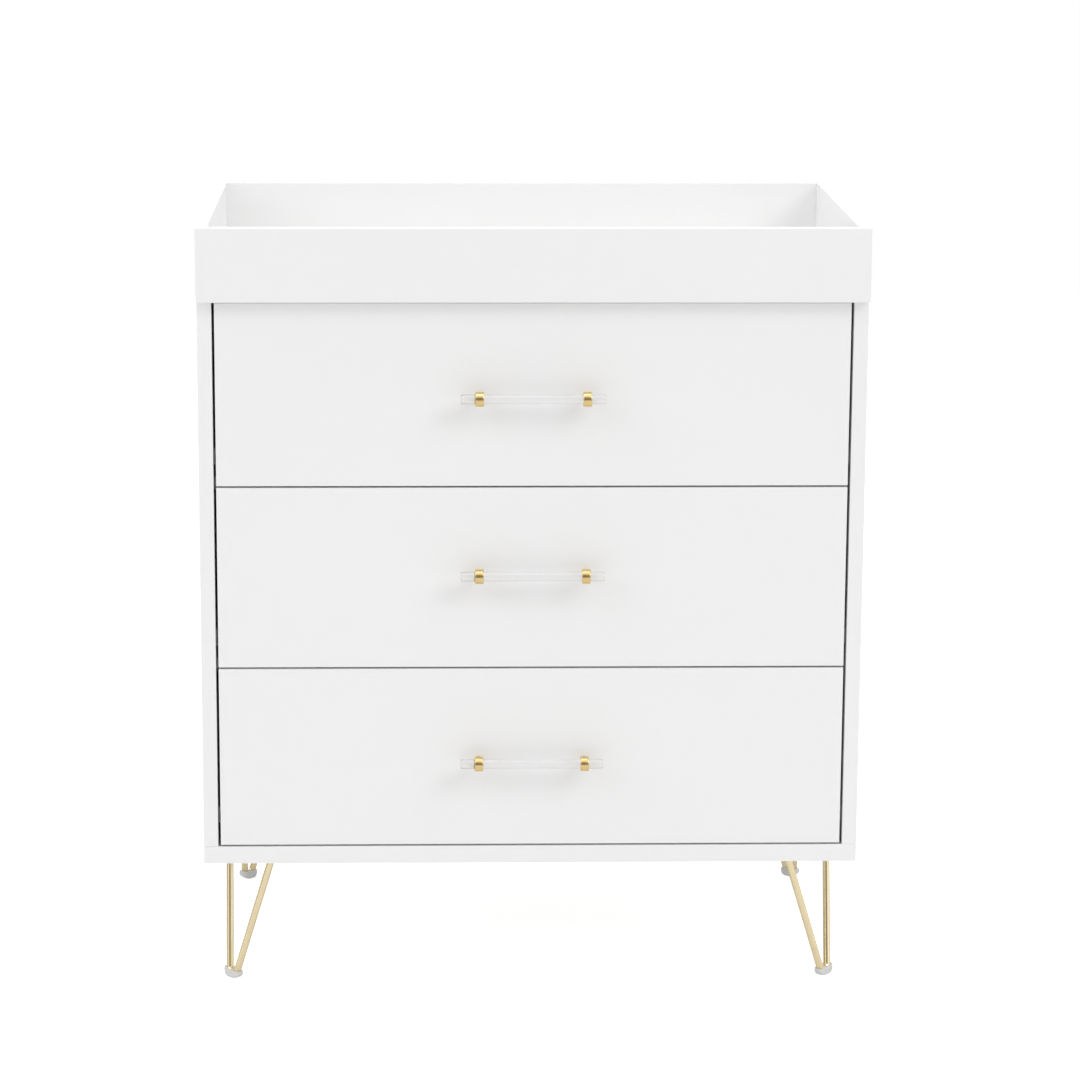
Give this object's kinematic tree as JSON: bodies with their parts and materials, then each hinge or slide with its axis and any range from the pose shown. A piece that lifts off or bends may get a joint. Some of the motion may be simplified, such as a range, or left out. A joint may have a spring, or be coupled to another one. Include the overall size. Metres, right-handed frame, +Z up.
{
  "type": "changing table",
  "caption": "Nursery changing dresser: a walled changing tray over full-width drawers with clear bar handles, on gold hairpin legs.",
  "frame": {"origin": "on the floor, at the centre of the whole object's outline seen from above", "axes": "+Z up, -Y out of the drawer fronts, +X to the right of a person facing the drawers"},
  "size_m": [0.855, 0.5378, 1.0047],
  "materials": {
    "white_board": "satin white lacquer",
    "back_board": "white-faced hardboard",
    "drawer_board": "clear-lacquered birch",
    "floor_board": "white-faced hardboard",
    "dowel_wood": "fluted beech",
    "clear_acrylic": "polished clear acrylic",
    "handle_brass": "polished brass",
    "leg_gold": "satin gold plating",
    "foot_plastic": "moulded, pale grey",
    "runner_white": "white epoxy coat",
    "roller_plastic": "white nylon",
    "screw_steel": "zinc plated"
  },
  "bodies": {
    "cabinet": {"side_panel_left": "white_board", "side_panel_right": "white_board", "bottom_panel": "white_board", "top_panel": "white_board", "back_panel": "back_board", "lower_drawer_rail": "white_board", "upper_drawer_rail": "white_board", "panel_dowels": "dowel_wood", "tray_front_wall": "white_board", "tray_back_wall": "white_board", "tray_left_wall": "white_board", "tray_right_wall": "white_board", "tray_strips": "screw_steel", "tray_strip_screws": "screw_steel", "leg_front_left": "leg_gold", "leg_front_right": "leg_gold", "leg_back_left": "leg_gold", "leg_back_right": "leg_gold", "foot_front_left": "foot_plastic", "foot_front_right": "foot_plastic", "foot_back_left": "foot_plastic", "foot_back_right": "foot_plastic", "leg_screws": "screw_steel", "bottom_case_runners": "runner_white", "middle_case_runners": "runner_white", "top_case_runners": "runner_white"},
    "bottom_drawer": {"bottom_drawer_front": "white_board", "bottom_drawer_side_left": "drawer_board", "bottom_drawer_side_right": "drawer_board", "bottom_drawer_back": "drawer_board", "bottom_drawer_floor": "floor_board", "bottom_drawer_runners": "runner_white", "bottom_handle_bar": "clear_acrylic", "bottom_handle_posts": "handle_brass", "bottom_handle_screws": "screw_steel"},
    "bottom_case_rollers": {"bottom_case_rollers": "roller_plastic"},
    "bottom_drawer_rollers": {"bottom_drawer_rollers": "roller_plastic"},
    "middle_drawer": {"middle_drawer_front": "white_board", "middle_drawer_side_left": "drawer_board", "middle_drawer_side_right": "drawer_board", "middle_drawer_back": "drawer_board", "middle_drawer_floor": "floor_board", "middle_drawer_runners": "runner_white", "middle_handle_bar": "clear_acrylic", "middle_handle_posts": "handle_brass", "middle_handle_screws": "screw_steel"},
    "middle_case_rollers": {"middle_case_rollers": "roller_plastic"},
    "middle_drawer_rollers": {"middle_drawer_rollers": "roller_plastic"},
    "top_drawer": {"top_drawer_front": "white_board", "top_drawer_side_left": "drawer_board", "top_drawer_side_right": "drawer_board", "top_drawer_back": "drawer_board", "top_drawer_floor": "floor_board", "top_drawer_runners": "runner_white", "top_handle_bar": "clear_acrylic", "top_handle_posts": "handle_brass", "top_handle_screws": "screw_steel"},
    "top_case_rollers": {"top_case_rollers": "roller_plastic"},
    "top_drawer_rollers": {"top_drawer_rollers": "roller_plastic"}
  },
  "joints": [
    {"name": "bottom_drawer_slide", "type": "slide", "parent": "cabinet", "child": "bottom_drawer", "axis": [0, -1, 0], "range_m": [0, 0.325]},
    {"name": "bottom_case_rollers_spin", "type": "hinge", "parent": "cabinet", "child": "bottom_case_rollers", "pos_m": [0, -0.2049, 0.2317], "axis": [1, 0, 0], "continuous": true},
    {"name": "bottom_drawer_rollers_spin", "type": "hinge", "parent": "bottom_drawer", "child": "bottom_drawer_rollers", "pos_m": [0, 0.1501, 0.2275], "axis": [1, 0, 0], "continuous": true},
    {"name": "middle_drawer_slide", "type": "slide", "parent": "cabinet", "child": "middle_drawer", "axis": [0, -1, 0], "range_m": [0, 0.325]},
    {"name": "middle_case_rollers_spin", "type": "hinge", "parent": "cabinet", "child": "middle_case_rollers", "pos_m": [0, -0.2049, 0.4708], "axis": [1, 0, 0], "continuous": true},
    {"name": "middle_drawer_rollers_spin", "type": "hinge", "parent": "middle_drawer", "child": "middle_drawer_rollers", "pos_m": [0, 0.1501, 0.4666], "axis": [1, 0, 0], "continuous": true},
    {"name": "top_drawer_slide", "type": "slide", "parent": "cabinet", "child": "top_drawer", "axis": [0, -1, 0], "range_m": [0, 0.325]},
    {"name": "top_case_rollers_spin", "type": "hinge", "parent": "cabinet", "child": "top_case_rollers", "pos_m": [0, -0.2049, 0.7099], "axis": [1, 0, 0], "continuous": true},
    {"name": "top_drawer_rollers_spin", "type": "hinge", "parent": "top_drawer", "child": "top_drawer_rollers", "pos_m": [0, 0.1501, 0.7057], "axis": [1, 0, 0], "continuous": true}
  ],
  "couplings": [
    {"joint": "bottom_case_rollers_spin", "follows": "bottom_drawer_slide", "rad_per_m": 111.11},
    {"joint": "bottom_drawer_rollers_spin", "follows": "bottom_drawer_slide", "rad_per_m": 111.11},
    {"joint": "middle_case_rollers_spin", "follows": "middle_drawer_slide", "rad_per_m": 111.11},
    {"joint": "middle_drawer_rollers_spin", "follows": "middle_drawer_slide", "rad_per_m": 111.11},
    {"joint": "top_case_rollers_spin", "follows": "top_drawer_slide", "rad_per_m": 111.11},
    {"joint": "top_drawer_rollers_spin", "follows": "top_drawer_slide", "rad_per_m": 111.11}
  ]
}
